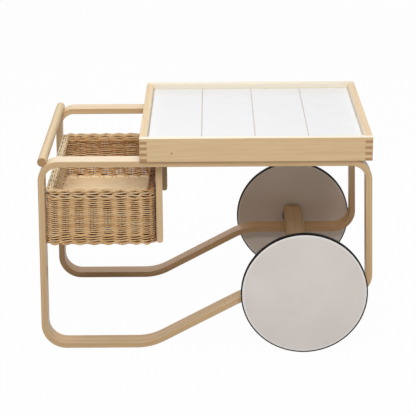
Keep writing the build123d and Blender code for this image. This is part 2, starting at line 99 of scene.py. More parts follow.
# One material under construction, or the nodes of the world that is given as owner
class Finish:
    def __init__(self, name, owner=None):
        self.owner = owner or bpy.data.materials.new(name)
        self.owner.use_nodes = True
        self.tree = self.owner.node_tree
        self.tree.nodes.clear()

    def node(self, kind, settings=None, inputs=None, out=0):
        made = self.tree.nodes.new(kind)
        for key, value in (settings or {}).items():
            if key == "stops":
                ramp = made.color_ramp
                while len(ramp.elements) < len(value):
                    ramp.elements.new(1)
                for element, (place, colour) in zip(ramp.elements, value):
                    element.position = place
                    element.color = (*colour, 1)
            else:
                setattr(made, key, value)
        for key, value in (inputs or {}).items():
            socket = made.inputs[key]
            if isinstance(value, Wire):
                self.tree.links.new(value.socket, socket)
            elif socket.type == "RGBA":
                socket.default_value = (*value, 1)
            else:
                socket.default_value = value
        return Wire(self, made.outputs[out]) if made.outputs else None

    def place(self):
        return self.node("ShaderNodeTexCoord", out="Object")

    def facing(self):
        return self.node("ShaderNodeTexCoord", out="Normal")

    def parts(self, vector):
        split = self.node("ShaderNodeSeparateXYZ", inputs={0: vector}).socket.node
        return [Wire(self, socket) for socket in split.outputs]

    def joined(self, x, y, z):
        return self.node("ShaderNodeCombineXYZ", inputs={0: x, 1: y, 2: z})

    def noise(self, vector, detail=2.0, rough=0.5):
        return self.node("ShaderNodeTexNoise", inputs={
            "Vector": vector, "Scale": 1.0, "Detail": detail, "Roughness": rough})

    def clouds(self, waves, detail):
        # noise through the whole piece, with so many waves to a metre along X, Y and Z
        x, y, z = self.parts(self.place())
        return self.noise(self.joined(x * waves[0], y * waves[1], z * waves[2]), detail)

    def mix(self, share, first, second, blend="MIX"):
        return self.node("ShaderNodeMix", {"data_type": "RGBA", "blend_type": blend},
                         {0: share, 6: first, 7: second}, out=2)

    def bump(self, height, depth):
        return self.node("ShaderNodeBump", inputs={"Height": height, "Distance": depth})

    def attribute(self, name, out="Fac"):
        return self.node("ShaderNodeAttribute", {"attribute_name": name}, out=out)

    def shade(self, sockets):
        shader = self.node("ShaderNodeBsdfPrincipled", inputs=sockets)
        self.node("ShaderNodeOutputMaterial", inputs={"Surface": shader})
        return self.owner


def seen(red, green, blue):
    # a colour as the eye reads it, 0 to 255, in the shader's own light values
    def linear(value):
        share = value / 255
        return share / 12.92 if share <= 0.04045 else ((share + 0.055) / 1.055) ** 2.4
    return (linear(red), linear(green), linear(blue))


def dress(material, *names):
    for name in names:
        node = nodes[name]
        node.data.materials.clear()
        node.data.materials.append(material)


# Studio: camera at the photograph's viewing angle, soft light from above, before and behind, pale floor
studio = {
    "lens": 134.9,
    "sensor": 36,
    "clipEnd": 60,
    "cameraPlace": (0.0196, -4.2108, 1.7585),
    "pitch": 19.042,
    "yaw": -0.18,
    "roll": 0.421,
    "skyLight": 0.12,
    # size, power, place, and the point that it faces
    "lamps": {
        "topLamp": (2.6, 48.5, (-0.1, 0.2, 3.3), (0, 0, 0)),
        "keyLamp": (2.0, 88.0, (0.0, -3.0, 3.0), (0, 0, 0.35)),
        "fillLamp": (1.6, 6.0, (0.7, -3.6, 0.95), (0, 0, 0.3)),
        "backLamp": (2.0, 20.0, (-0.6, 3.0, 2.9), (0, 0, 0.3)),
    },
    "floorSize": 24.0,
    "floorColour": seen(192, 191, 190),
    "floorShow": 0.98,  # how much of the floor is plain white to the eye
}


def backdropRays(finish):
    # 1 for rays that show the background: straight to the eye, in gloss and through glass
    path = finish.node("ShaderNodeLightPath").socket.node
    camera, glossy, through = (Wire(finish, path.outputs[name])
                               for name in ("Is Camera Ray", "Is Glossy Ray", "Is Transmission Ray"))
    return camera.most(glossy).most(through)


def setStudio():
    scene = bpy.context.scene
    scene.view_settings.view_transform = "Standard"

    camera = bpy.data.objects.new("camera", bpy.data.cameras.new("camera"))
    camera.data.lens = studio["lens"]
    camera.data.sensor_width = studio["sensor"]
    camera.data.clip_end = studio["clipEnd"]
    turn = (Matrix.Rotation(-math.radians(studio["yaw"]), 4, "Z")
            @ Matrix.Rotation(math.radians(90 - studio["pitch"]), 4, "X")
            @ Matrix.Rotation(-math.radians(studio["roll"]), 4, "Z"))
    camera.matrix_world = Matrix.Translation(studio["cameraPlace"]) @ turn
    scene.collection.objects.link(camera)
    scene.camera = camera

    for name, (size, power, place, target) in studio["lamps"].items():
        light = bpy.data.lights.new(name, "AREA")
        light.size = size
        light.energy = power
        holder = bpy.data.objects.new(name, light)
        holder.location = place
        holder.rotation_euler = (Vector(target) - Vector(place)).to_track_quat("-Z", "Y").to_euler()
        scene.collection.objects.link(holder)

    world = bpy.data.worlds.new("sky")
    sky = Finish("sky", world)
    strength = studio["skyLight"] + backdropRays(sky) * (1 - studio["skyLight"])
    glow = sky.node("ShaderNodeBackground", inputs={"Color": (1, 1, 1), "Strength": strength})
    sky.node("ShaderNodeOutputWorld", inputs={"Surface": glow})
    scene.world = world

    half = studio["floorSize"] / 2
    corners = [(-half, -half, 0), (half, -half, 0), (half, half, 0), (-half, half, 0)]
    mesh = bpy.data.meshes.new("floor")
    mesh.from_pydata(corners, [], [(0, 1, 2, 3)])
    floor = bpy.data.objects.new("floor", mesh)
    scene.collection.objects.link(floor)
    paint = Finish("paleFloor")
    flat = paint.node("ShaderNodeBsdfDiffuse", inputs={"Color": studio["floorColour"]})
    white = paint.node("ShaderNodeEmission", inputs={"Color": (1, 1, 1), "Strength": 1.0})
    share = backdropRays(paint) * studio["floorShow"]
    both = paint.node("ShaderNodeMixShader", inputs={0: share, 1: flat, 2: white})
    paint.node("ShaderNodeOutputMaterial", inputs={"Surface": both})
    mesh.materials.append(paint.owner)


setStudio()
print("studio set")


# Outline of the bent loops, as the shader needs it to find how deep a point lies in the lamella
bentLoop = {
    "thickness": 17 * mm,
    "laminae": 6,
    "handleLean": 8.5 * mm,
    "wheelLean": 10.5 * mm,
    "footRadius": 68 * mm,
    "handleRadius": 55 * mm,
    "wheelFootRadius": 65 * mm,
    "wheelTopRadius": 56 * mm,
    "rampAngle": 28.3,
    "skidLength": 300 * mm,
    "rampBlend": 26 * mm,
    "lowerRailZ": 145 * mm,
    "grainTurn": 0.36,  # metres of grain to one radian about the loop's middle
    "plyShare": 0.30,  # how far a lamina's own tone shows, and the glue line beside it
    "glueShare": 0.22,
    "lowShadeHeights": (0.18, 0.42),  # painted shade: darker below the first height, none above the second
    "lowShadeShare": 0.8,
    "paintedLightHeights": (0.35, 0.5),  # painted light on upper faces: none below the first height, all of it above the second
}


def loopDepth(x, z):
    # distance in from the loop's outside, round its bends
    low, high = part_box("right_frame_loop")
    handleSlope = bentLoop["handleLean"] / high.z
    wheelSlope = bentLoop["wheelLean"] / (high.z - bentLoop["lowerRailZ"])
    ramp = math.radians(bentLoop["rampAngle"])
    rampStart = low.x + bentLoop["skidLength"]
    wheelFootX = high.x + wheelSlope * bentLoop["wheelFootRadius"]
    fromHandle = x - (low.x - handleSlope * bentLoop["footRadius"]) - z * handleSlope
    fromTop = high.z - z
    fromRail = z - bentLoop["lowerRailZ"]
    fromWheel = wheelFootX - x - fromRail * wheelSlope
    fromRamp = z * math.cos(ramp) - (x - rampStart) * math.sin(ramp)
    lower = fromRamp.maths("SMOOTH_MAX", fromRamp, fromRail, bentLoop["rampBlend"])
    lower = lower.maths("SMOOTH_MIN", lower, z, bentLoop["rampBlend"])

    def bend(first, second, radius):
        across = (radius - first).most(0.0)
        up = (radius - second).most(0.0)
        return radius - (across * across + up * up).called("SQRT")

    return (bend(fromHandle, lower, bentLoop["footRadius"])
            .least(bend(fromHandle, fromTop, bentLoop["handleRadius"]))
            .least(bend(fromWheel, fromTop, bentLoop["wheelTopRadius"]))
            .least(bend(fromWheel, lower, bentLoop["wheelFootRadius"])))


# Birch: pale wood with fine streaks, faint growth bands, flecks, and darker end grain
birch = {
    "pale": seen(228, 198, 154),
    "deep": seen(211, 175, 128),
    "fleck": seen(168, 128, 86),
    "knot": seen(138, 82, 48),
    "endGrain": seen(184, 140, 102),
    # the pale colour that painted light draws upper and inner faces towards; on the wicker also the colour
    # of the turned-in ends
    "bleachAndLight": seen(240, 233, 214),
    "bandWidth": 11 * mm,
    "bandRun": 1.7,  # this and the other runs: waves to a metre along the grain
    "streakWidth": 1.6 * mm,
    "streakRun": 11,
    "fleckWidth": 0.7 * mm,
    "fleckRun": 95,
    "fleckShare": 0.3,
    "wanderRun": 3.1,
    "wanderAcross": 11,
    "wander": 0.02,  # metres by which the bands stray
    "ringWaves": (260, 90),  # growth rings on the cut ends
    "ringShare": 0.4,
    "poreWaves": 2600,
    "poreRun": 60,
    "poreShare": 0.2,
    "endShare": 0.92,
    "insideLight": 0.9,
    "knotSquash": 0.7,  # distances along the grain count for less, so knots are longer that way
    "knotRadii": (1.0 * mm, 3.2 * mm),
    "knotShare": 0.7,
    "figureWaves": (3.2, 17),  # along and across the veneer
    "figureRings": 11,
    "roughness": 0.40,
    "coatRoughness": 0.24,
    "grainDepth": 0.06 * mm,
}

# Finish of each birch piece: way of the grain, seed, tints, and how far upper and inner faces are drawn
# paler as painted light
birchPieces = {
    "bentBirchRight": (["right_frame_loop"], {"along": "loop", "seed": 3.0, "paintedLight": 0.4}),
    # the left loop's lower run is darkened as painted shade
    "bentBirchLeft": (["left_frame_loop"], {
        "along": "loop", "seed": 8.0, "paintedLight": 0.15, "lowShadeTint": (0.76, 0.62, 0.5)}),
    "frontBoardBirch": (["tray_right_board"], {
        "along": "X", "seed": 1.0, "paintedLight": 0.8, "gloss": 0.4, "knot": (-0.087, 0.559)}),
    "backBoardBirch": (["tray_left_board"], {
        "along": "X", "seed": 5.0, "paintedLight": 0.65, "gloss": 0.4, "inside": ("Y", -1)}),
    "handleBoardBirch": (["tray_handle_end_board"], {
        "along": "Y", "seed": 2.0, "tint": (0.96, 0.98, 0.95), "inside": ("X", 1)}),
    "wheelBoardBirch": (["tray_wheel_end_board"], {
        "along": "Y", "seed": 6.0, "paintedLight": 0.12, "inside": ("X", -1)}),
    "handleBirch": (["push_handle"], {"along": "Y", "seed": 7.0, "tint": (0.93, 0.96, 0.9)}),
    # painted shade: the beam and bearer are tinted darker, as they lie in the tray's shadow
    "shadedBeamBirch": (["axle_beam", "tray_cross_bearer"], {
        "along": "Y", "seed": 9.0, "tint": (0.72, 0.66, 0.6), "gloss": 0.0}),
    "slatBirch": (["basket_hanger_right", "basket_hanger_left"], {"along": "Z", "seed": 4.0}),
    "panelPly": (["tray_base_panel"], {"along": "X", "seed": 12.0}),
    # painted light: the base board's top face is drawn fully pale, and the tint lightens and warms it
    # further
    "basketPly": (["basket_base_board"], {
        "along": "X", "seed": 15.0, "tint": (1.08, 0.96, 0.78), "paintedLight": 1.0, "figure": 0.25}),
}


def birchFinish(name, along, seed, tint=None, lowShadeTint=None, paintedLight=0.05, inside=None, gloss=0.2, figure=0.0,
                knot=None):
    wood = Finish(name)
    x, y, z = wood.parts(wood.place())
    faceX, faceY, faceZ = wood.parts(wood.facing())
    above = faceZ.step(0.5, 0.9)
    if along == "loop":
        low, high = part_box("right_frame_loop")
        middle = (low + high) / 2
        run = (z - middle.z).called("ARCTAN2", x - middle.x) * bentLoop["grainTurn"]
        depth = loopDepth(x, z)
        side = abs(faceY).step(0.6, 0.9)
        across, deep = y, depth * side
        above = above * z.step(*bentLoop["paintedLightHeights"])
    else:
        run, across, deep = {"X": (x, y, z), "Y": (y, z, x), "Z": (z, x, y)}[along]
        end = abs({"X": faceX, "Y": faceY, "Z": faceZ}[along]).step(0.75, 0.92)

    spread = birch["wanderAcross"]
    wander = wood.noise(wood.joined(run * birch["wanderRun"], across * spread, deep * spread + seed)) - 0.5
    stray = wander * birch["wander"]
    band = wood.noise(wood.joined(run * birch["bandRun"] + seed, (across + stray) / birch["bandWidth"],
                                  (deep + stray) / birch["bandWidth"]), detail=3)
    streak = wood.noise(wood.joined(run * birch["streakRun"] + seed, across / birch["streakWidth"],
                                    deep / birch["streakWidth"]), detail=3, rough=0.6)
    fleck = wood.noise(wood.joined(run * birch["fleckRun"], across / birch["fleckWidth"],
                                   deep / birch["fleckWidth"] + seed), detail=1).step(0.70, 0.80)
    tone = (band * 0.6 + streak * 0.55 - 0.1).step(0.25, 0.75)
    colour = wood.mix(tone, birch["pale"], birch["deep"])
    colour = wood.mix(fleck * birch["fleckShare"], colour, birch["fleck"])
    sheen = birch["roughness"] + streak * 0.12

    if along == "loop":
        # painted shade: the loop's lower run is drawn darker, as if in the shade of the tray and basket
        if lowShadeTint:
            shadedLow = 1 - z.step(*bentLoop["lowShadeHeights"])
            lowShaded = wood.mix(1.0, colour, lowShadeTint, "MULTIPLY")
            colour = wood.mix(shadedLow * bentLoop["lowShadeShare"], colour, lowShaded)
        # each lamina has its own tone, with a thin glue line between, seen on the loop's side faces
        layer = depth / (bentLoop["thickness"] / bentLoop["laminae"])
        inLayer = layer.called("FRACT")
        glue = 1 - inLayer.least(1 - inLayer).step(0.03, 0.11)
        ply = wood.node("ShaderNodeTexWhiteNoise", {"noise_dimensions": "1D"},
                        {"W": layer.called("FLOOR") + seed}, out="Value")
        lines = ply * bentLoop["plyShare"] + glue * bentLoop["glueShare"]
        colour = wood.mix(side * lines, colour, birch["fleck"])
    else:
        # growth rings and pores across the cut ends
        ringA, ringB = birch["ringWaves"]
        ring = wood.noise(wood.joined(across * ringA, deep * ringB + wander * 3, seed)).step(0.3, 0.7)
        pore = wood.noise(wood.joined(across * birch["poreWaves"], deep * birch["poreWaves"],
                                      run * birch["poreRun"]), detail=1).step(0.42, 0.62)
        marks = ring * birch["ringShare"] + pore * birch["poreShare"]
        cut = wood.mix(marks, birch["endGrain"], birch["fleck"])
        colour = wood.mix(end * birch["endShare"], colour, cut)
        sheen = sheen + end * 0.2
    # painted light: upper faces, and the boards' faces inside the tray, are drawn paler as if lit
    colour = wood.mix(above * paintedLight, colour, birch["bleachAndLight"])
    if inside:
        axis, sign = inside
        inner = {"X": faceX, "Y": faceY}[axis].step(0.6 * sign, 0.9 * sign)
        colour = wood.mix(inner * birch["insideLight"], colour, birch["bleachAndLight"])
    if knot:
        knotX, knotZ = knot
        squared = ((x - knotX) * birch["knotSquash"]).called("POWER", 2.0) + (z - knotZ).called("POWER", 2.0)
        spot = 1 - squared.called("SQRT").step(*birch["knotRadii"])
        colour = wood.mix(spot * birch["knotShare"], colour, birch["knot"])
    if figure:
        # wavy contours of a veneer peeled round the log
        wavesAlong, wavesAcross = birch["figureWaves"]
        swirl = wood.noise(wood.joined(x * wavesAlong + seed, y * wavesAcross, wander * 0.5), detail=1)
        vein = (swirl * birch["figureRings"]).called("FRACT").step(0.35, 1.0)
        colour = wood.mix(vein * figure, colour, birch["deep"])
    if tint:
        colour = wood.mix(1.0, colour, tint, "MULTIPLY")
    return wood.shade({
        "Base Color": colour,
        "Roughness": sheen,
        "Specular IOR Level": 0.15 + gloss,
        "Coat Weight": gloss,
        "Coat Roughness": birch["coatRoughness"],
        "Normal": wood.bump(streak, birch["grainDepth"]),
    })


for name, (pieces, looks) in birchPieces.items():
    dress(birchFinish(name, **looks), *pieces)
print("birch pieces dressed")


# Tiles: white glaze with faint clouds and specks, over a pale joint
tile = {
    "glaze": seen(232, 232, 234),
    "greyed": seen(227, 227, 229),
    "cloudWaves": (14, 14, 14),
    "speckWaves": (900, 900, 900),
    "swellWaves": (22, 22, 22),  # glaze is never quite flat
    "swellDepth": 0.4 * mm,
    "joint": seen(206, 194, 184),
    "jointStain": seen(180, 166, 154),
    "stainWaves": (30, 30, 30),
    "grainWaves": (1500, 1500, 1500),
    "grainDepth": 0.2 * mm,
}


def glazeFinish():
    glaze = Finish("whiteGlaze")
    cloud = glaze.clouds(tile["cloudWaves"], 3)
    speck = glaze.clouds(tile["speckWaves"], 1).step(0.72, 0.8)
    swell = glaze.clouds(tile["swellWaves"], 1)
    return glaze.shade({
        "Base Color": glaze.mix(cloud.step(0.3, 0.75) * 0.6 + speck * 0.25, tile["glaze"], tile["greyed"]),
        "Roughness": 0.13 + cloud * 0.08,
        "Normal": glaze.bump(swell, tile["swellDepth"]),
    })


def jointFinish():
    joint = Finish("tileJoint")
    grain = joint.clouds(tile["grainWaves"], 3)
    stain = joint.clouds(tile["stainWaves"], 2).step(0.3, 0.7)
    return joint.shade({
        "Base Color": joint.mix(stain * 0.5 + grain * 0.3, tile["joint"], tile["jointStain"]),
        "Roughness": 0.85,
        "Normal": joint.bump(grain, tile["grainDepth"]),
    })


dress(glazeFinish(), "tile_1", "tile_2", "tile_3", "tile_4")
dress(jointFinish(), "tile_joint_filler")
print("tiles dressed")


# Wheels: lacquered discs with a painted highlight ring inside the rim, pale scuffs, and thin black tyres
wheel = {
    "lacquer": seen(236, 228, 223),
    "shade": seen(228, 219, 213),
    "scuffAndHighlight": seen(246, 242, 238),
    "shadeTints": {"right": None, "left": (1.0, 0.955, 0.88)},  # the left disc is tinted darker and yellower as painted shade under the tray
    "highlightStart": 6.0 * mm,  # painted highlight ring, in from the rim: where it starts, and where it is full
    "highlightFull": 4.4 * mm,
    "cloudWaves": (7, 7, 7),
    "skinWaves": (420, 420, 420),
    "skinDepth": 0.06 * mm,
    "scuffWaves": (520, 40, 3),  # out from the axle, along it, and over the clouds
    "rubber": seen(12, 11, 11),
    "rubberDust": seen(24, 23, 22),
    "dustWaves": (40, 120, 40),
    "grainWaves": (1800, 1800, 1800),
    "grainDepth": 0.1 * mm,
}


def lacquerFinish(side, tint):
    lacquer = Finish(side + "WheelLacquer")
    low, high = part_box(side + "_wheel_disc")
    middle = (low + high) / 2
    rim = (high.x - low.x) / 2
    x, y, z = lacquer.parts(lacquer.place())
    across, up = x - middle.x, z - middle.z
    radius = (across * across + up * up).called("SQRT")
    cloud = lacquer.clouds(wheel["cloudWaves"], 4)
    skin = lacquer.clouds(wheel["skinWaves"], 2)
    scuffOut, scuffAlong, scuffCloud = wheel["scuffWaves"]
    scuff = lacquer.noise(lacquer.joined(radius * scuffOut, y * scuffAlong, cloud * scuffCloud))
    scuff = scuff.step(0.66, 0.78)
    edgeHighlight = radius.step(rim - wheel["highlightStart"], rim - wheel["highlightFull"])
    colour = lacquer.mix(cloud.step(0.25, 0.75), wheel["lacquer"], wheel["shade"])
    colour = lacquer.mix(scuff * 0.12, colour, wheel["scuffAndHighlight"])
    # painted highlight: a pale ring just inside the tyre, where the disc's rounded edge would catch the
    # light
    colour = lacquer.mix(edgeHighlight * 0.8, colour, wheel["scuffAndHighlight"])
    if tint:
        colour = lacquer.mix(1.0, colour, tint, "MULTIPLY")
    return lacquer.shade({
        "Base Color": colour,
        "Roughness": 0.42 + cloud * 0.1 + scuff * 0.1,
        "Coat Weight": 0.15,
        "Coat Roughness": 0.3,
        "Normal": lacquer.bump(skin, wheel["skinDepth"]),
    })


def rubberFinish():
    rubber = Finish("tyreRubber")
    cloud = rubber.clouds(wheel["dustWaves"], 4)
    grain = rubber.clouds(wheel["grainWaves"], 2)
    return rubber.shade({
        "Base Color": rubber.mix(cloud.step(0.45, 0.8) * 0.6, wheel["rubber"], wheel["rubberDust"]),
        "Roughness": 0.62 + cloud * 0.2,
        "Specular IOR Level": 0.15,
        "Normal": rubber.bump(grain, wheel["grainDepth"]),
    })


for side, tint in wheel["shadeTints"].items():
    dress(lacquerFinish(side, tint), side + "_wheel_disc")
dress(rubberFinish(), "right_wheel_tyre", "left_wheel_tyre")
print("wheels dressed")


# Small metal and nylon pieces
smallParts = {
    "zinc": seen(176, 178, 182),
    "zincDull": seen(140, 141, 143),
    "zincWaves": (160, 160, 160),
    "brushWaves": (3000, 3000, 400),
    "brushDepth": 0.03 * mm,
    "blackPaint": seen(26, 25, 25),
    "wearWaves": (90, 90, 90),
    "skinWaves": (1100, 1100, 1100),
    "skinDepth": 0.06 * mm,
    "nylon": seen(226, 222, 212),
    "nylonShade": seen(206, 200, 188),
    "nylonWaves": (120, 120, 120),
    "nylonDepth": 0.1 * mm,
}


def zincFinish():
    zinc = Finish("zincSteel")
    cloud = zinc.clouds(smallParts["zincWaves"], 3)
    brushed = zinc.clouds(smallParts["brushWaves"], 2)
    return zinc.shade({
        "Base Color": zinc.mix(cloud.step(0.3, 0.7), smallParts["zinc"], smallParts["zincDull"]),
        "Metallic": 1.0,
        "Roughness": 0.26 + brushed * 0.2,
        "Normal": zinc.bump(brushed, smallParts["brushDepth"]),
    })


def paintFinish():
    paint = Finish("blackPaint")
    skin = paint.clouds(smallParts["skinWaves"], 2)
    worn = paint.clouds(smallParts["wearWaves"], 4).step(0.62, 0.75)
    return paint.shade({
        "Base Color": paint.mix(worn * 0.35, smallParts["blackPaint"], smallParts["zincDull"]),
        "Roughness": 0.45 + worn * 0.15,
        "Normal": paint.bump(skin, smallParts["skinDepth"]),
    })


def nylonFinish():
    nylon = Finish("nylon")
    cloud = nylon.clouds(smallParts["nylonWaves"], 3)
    return nylon.shade({
        "Base Color": nylon.mix(cloud * 0.5, smallParts["nylon"], smallParts["nylonShade"]),
        "Roughness": 0.4 + cloud * 0.15,
        "Normal": nylon.bump(cloud, smallParts["nylonDepth"]),
    })


dress(zincFinish(), *[name for name in nodes if "screw" in name or name.endswith("stub_axle")])
dress(paintFinish(), "basket_straps")
dress(nylonFinish(), *[name for name in nodes if name.endswith("bush") or name.endswith("washer")])
print("small pieces dressed")


# Wicker basket: stakes, a fine woven wall, and bands of twined rods for rim and foot
basket = {
    "seed": 11,
    "wallInset": 5.75 * mm,  # wall's outer face to the line of the stakes
    "corner": 17.75 * mm,
    "lean": 0.026,  # the handle end follows its leaning post, to the basket's height
    "innerGaps": (5, 11),  # full gaps between stakes on a short side and on a long side
    "endGap": 0.74,  # first and last gap of a side, to a full one
    "samples": 8,  # points along a rod from stake to stake
    "rodSides": 6,
    "twineSides": 8,
    "pinch": 0.18,  # how much thinner a rod is drawn where it bends round a stake
    "uneven": 0.1,  # how much a rod's thickness varies, and waves of that to a metre
    "unevenWaves": 30,
    "flankShade": 0.35,  # how much more painted shade a rod's flanks get than its crest
    "tones": 0.85,  # rods run from tone 0, straw, to this
    "joinStakes": (4, 11),  # fewest and most stakes that one rod passes
    "wobbleWaves": 16,
    "wobbleRows": 3.7,
    "stakeRadius": 1.6 * mm,
    "stakeShadeTone": 1.6,  # tones over 1 are dark all over: the stakes are drawn dark as painted shade
    "stakeLow": 8 * mm,  # above the foot's underside
    "stakeShort": 15 * mm,  # shorter than the whole basket by this
    "stakeSteps": 8,
    "stakeWobble": 0.5 * mm,
    "stakeWobbleStep": 0.4,  # how quickly that changes from step to step
    "coreRadius": 1.0 * mm,  # thin dark rods in the middle of the wall, painted shade that shows through the gaps
    "coreShadeTone": 1.5,
    "coreLow": 9 * mm,
    "coreHigh": 8 * mm,
    "coreOut": -0.4 * mm,
    "weaverRadius": 2.05 * mm,
    "weaverPitch": 2.86 * mm,
    "weaverOut": 0.5 * mm,
    "weaverSwing": 3.2 * mm,
    "weaverWobble": (0.7 * mm, 1.1 * mm),  # out, up
    "rimBand": 26.5 * mm,
    "footBand": 30 * mm,
    "twineRadius": 2.5 * mm,
    "twineWobble": (0.7, 0.9),  # out, up, in millimetres as the rows are
    "scallop": 0.9,  # millimetres too, on rows that face up or down between these angles
    "scallopWays": (20, 170),
    "foldedDepth": 0.5,  # how far rods stand out in rows that do not face straight out, to those that do
    # twined rows in millimetres: out from the stakes' line, up from the rim's top,
    # way they face in degrees, swing, lift, hand
    "rimRows": [
        (0.0, -24.6, 0, 3.7, 1.1, 1),
        (0.0, -17.6, 0, 3.7, 1.1, -1),
        (0.0, -10.6, 0, 3.7, 1.1, 1),
        (2.2, -4.6, 50, 1.4, 1.3, -1),
        (-3.6, -3.8, 90, 1.3, 1.4, 1),
        (-9.4, -5.4, 140, 1.3, 1.3, -1),
        (-10.1, -12.0, 180, 1.2, 1.2, 1),
        (-9.6, -18.4, 200, 1.2, 1.2, -1),
    ],
    # the same, up from the foot's underside
    "footRows": [
        (0.0, 27.4, 0, 3.7, 1.2, 1),
        (0.0, 20.4, 0, 3.7, 1.2, 1),
        (0.0, 13.4, 0, 3.7, 1.2, 1),
        (2.2, 7.0, -40, 1.4, 1.3, 1),
        (-6.4, 25.6, 180, 1.4, 1.2, 1),
        (-6.2, 14.2, 180, 2.4, 1.9, 1),
        (-3.6, 5.0, -90, 1.2, 1.4, 1),
        (-9.6, 6.4, -150, 1.2, 1.3, 1),
    ],
    "rimKey": 200,  # keep the wobble of rim and foot apart from the wall's
    "footKey": 300,
    "twineUpKey": 50,  # keep a rod's wobble up apart from its wobble out
    "weaverUpKey": 90,
    # curl under each stake's foot: stakes along, out, up
    "curl": [(-0.42, 1.5, 8.0), (-0.22, 3.4, 5.0), (0.0, 3.7, 3.4), (0.22, 3.0, 4.8), (0.4, 0.0, 7.5)],
    "curlTones": 0.8,
    "curlDepth": 0.6,
    # pale ends of the stakes, turned in over the base board: stakes along and share of the height,
    # then out and height of each row
    "turnIn": [(-0.55, 0.0), (-0.3, 0.6), (0.0, 1.0), (0.3, 0.6), (0.55, 0.0)],
    "turnInRows": [(-9.0, 6.5), (-10.5, 4.0), (-12.5, 1.6)],
    "turnInLift": 0.8,
    "turnInReach": (0.6, 0.7),  # least, and how much chance adds
    "turnInRadius": 2.0 * mm,
    "turnInTone": -0.3,  # tones under 0 are bleached all over
}


class BasketLine:
    # the stakes' line round the basket, a rounded rectangle seen from above
    def __init__(self):
        low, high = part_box("basket_woven_wall")
        self.middle = (low + high) / 2
        self.halfX = (high.x - low.x) / 2 - basket["wallInset"]
        self.halfY = (high.y - low.y) / 2 - basket["wallInset"]
        self.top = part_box("basket_rim")[1].z
        self.corner = basket["corner"]
        self.arc = self.corner * math.pi / 2
        self.straights = [2 * (half - self.corner) for half in (self.halfX, self.halfY)] * 2
        self.length = sum(self.straights) + 4 * self.arc
        self.stakes = []
        start = 0.0
        for side, straight in enumerate(self.straights):
            inner = basket["innerGaps"][side % 2]
            gap = straight / (inner + 2 * basket["endGap"])
            place = start
            for step in [0, basket["endGap"]] + [1] * inner + [basket["endGap"]]:
                place += step * gap
                self.stakes.append(place)
            start += straight + self.arc
        self.count = len(self.stakes)

    def along(self, stake):
        # distance round the basket of a stake's number, with parts of stakes between
        turns, rest = divmod(stake, self.count)
        index = int(rest)
        here = self.stakes[index]
        after = self.stakes[index + 1] if index + 1 < self.count else self.length
        return turns * self.length + here + (after - here) * (rest - index)

    def point(self, stake, out, z):
        # a place beside the line, and the way straight out of the basket there
        distance = self.along(stake) % self.length
        for side, straight in enumerate(self.straights):
            if distance <= straight + self.arc:
                break
            distance -= straight + self.arc
        half, other = (self.halfX, self.halfY) if side % 2 == 0 else (self.halfY, self.halfX)
        bend = max(distance - straight, 0) / self.corner
        x = -half + self.corner + min(distance, straight) + (self.corner + out) * math.sin(bend)
        y = -other + self.corner - (self.corner + out) * math.cos(bend)
        turn = Matrix.Rotation(side * math.pi / 2, 2)
        flat = turn @ Vector((x, y))
        flat.x -= max(-flat.x / self.halfX, 0) * basket["lean"] * (self.top - z)
        away = turn @ Vector((math.sin(bend), -math.cos(bend)))
        return Vector((self.middle.x + flat.x, self.middle.y + flat.y, z)), Vector((away.x, away.y, 0))


def buildRods(name, rods, sides, finish, node):
    # a rod is a list of (place, way it faces, how far it stands out, tone), its radius, how far it is
    # drawn thinner where it stands out, and whether it is a ring
    points, faces, fibres, tones, shades = [], [], [], [], []
    for path, radius, pinch, closed in rods:
        first = len(points)
        count = len(path)
        run = 0.0
        for index, (here, facing, depth, tone) in enumerate(path):
            before = path[index - 1][0] if index or closed else here
            after = path[(index + 1) % count][0] if index + 1 < count or closed else here
            ahead = (after - before).normalized()
            lift = Vector((0, 0, 1)) if abs(ahead.z) < 0.9 else Vector((0.6, 0.8, 0))
            sideways = ahead.cross(lift).normalized()
            up = sideways.cross(ahead)
            if index:
                run += (here - path[index - 1][0]).length
            # tone and place in the list set the rods apart
            bulge = basket["uneven"] * noise.noise((run * basket["unevenWaves"], tone * 50, first * 0.013))
            thick = radius * (1 + bulge - pinch * depth * depth)
            for corner in range(sides):
                turn = 2 * math.pi * corner / sides
                away = sideways * math.cos(turn) + up * math.sin(turn)
                points.append(here + away * thick)
                fibres.extend((run, math.cos(turn), math.sin(turn)))
                tones.append(tone)
                lie = away.dot(facing)  # 1 on the rod's crest, 0 on its flanks
                shades.append(depth * lie - basket["flankShade"] * abs(depth) * (1 - lie * lie))
        for index in range(count if closed else count - 1):
            low = first + index * sides
            high = first + (index + 1) % count * sides
            for corner in range(sides):
                after = (corner + 1) % sides
                faces.append((low + corner, low + after, high + after, high + corner))
        if not closed:
            faces.append(tuple(range(first + sides - 1, first - 1, -1)))
            last = first + (count - 1) * sides
            faces.append(tuple(range(last, last + sides)))
    mesh = bpy.data.meshes.new(name)
    mesh.from_pydata(points, [], faces)
    mesh.polygons.foreach_set("use_smooth", [True] * len(mesh.polygons))
    mesh.attributes.new("fibre", "FLOAT_VECTOR", "POINT").data.foreach_set("vector", fibres)
    mesh.attributes.new("tone", "FLOAT", "POINT").data.foreach_set("value", tones)
    mesh.attributes.new("shade", "FLOAT", "POINT").data.foreach_set("value", shades)
    mesh.materials.append(finish)
    piece = bpy.data.objects.new(name, mesh)
    bpy.context.scene.collection.objects.link(piece)
    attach(piece, "frame")
    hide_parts(node)


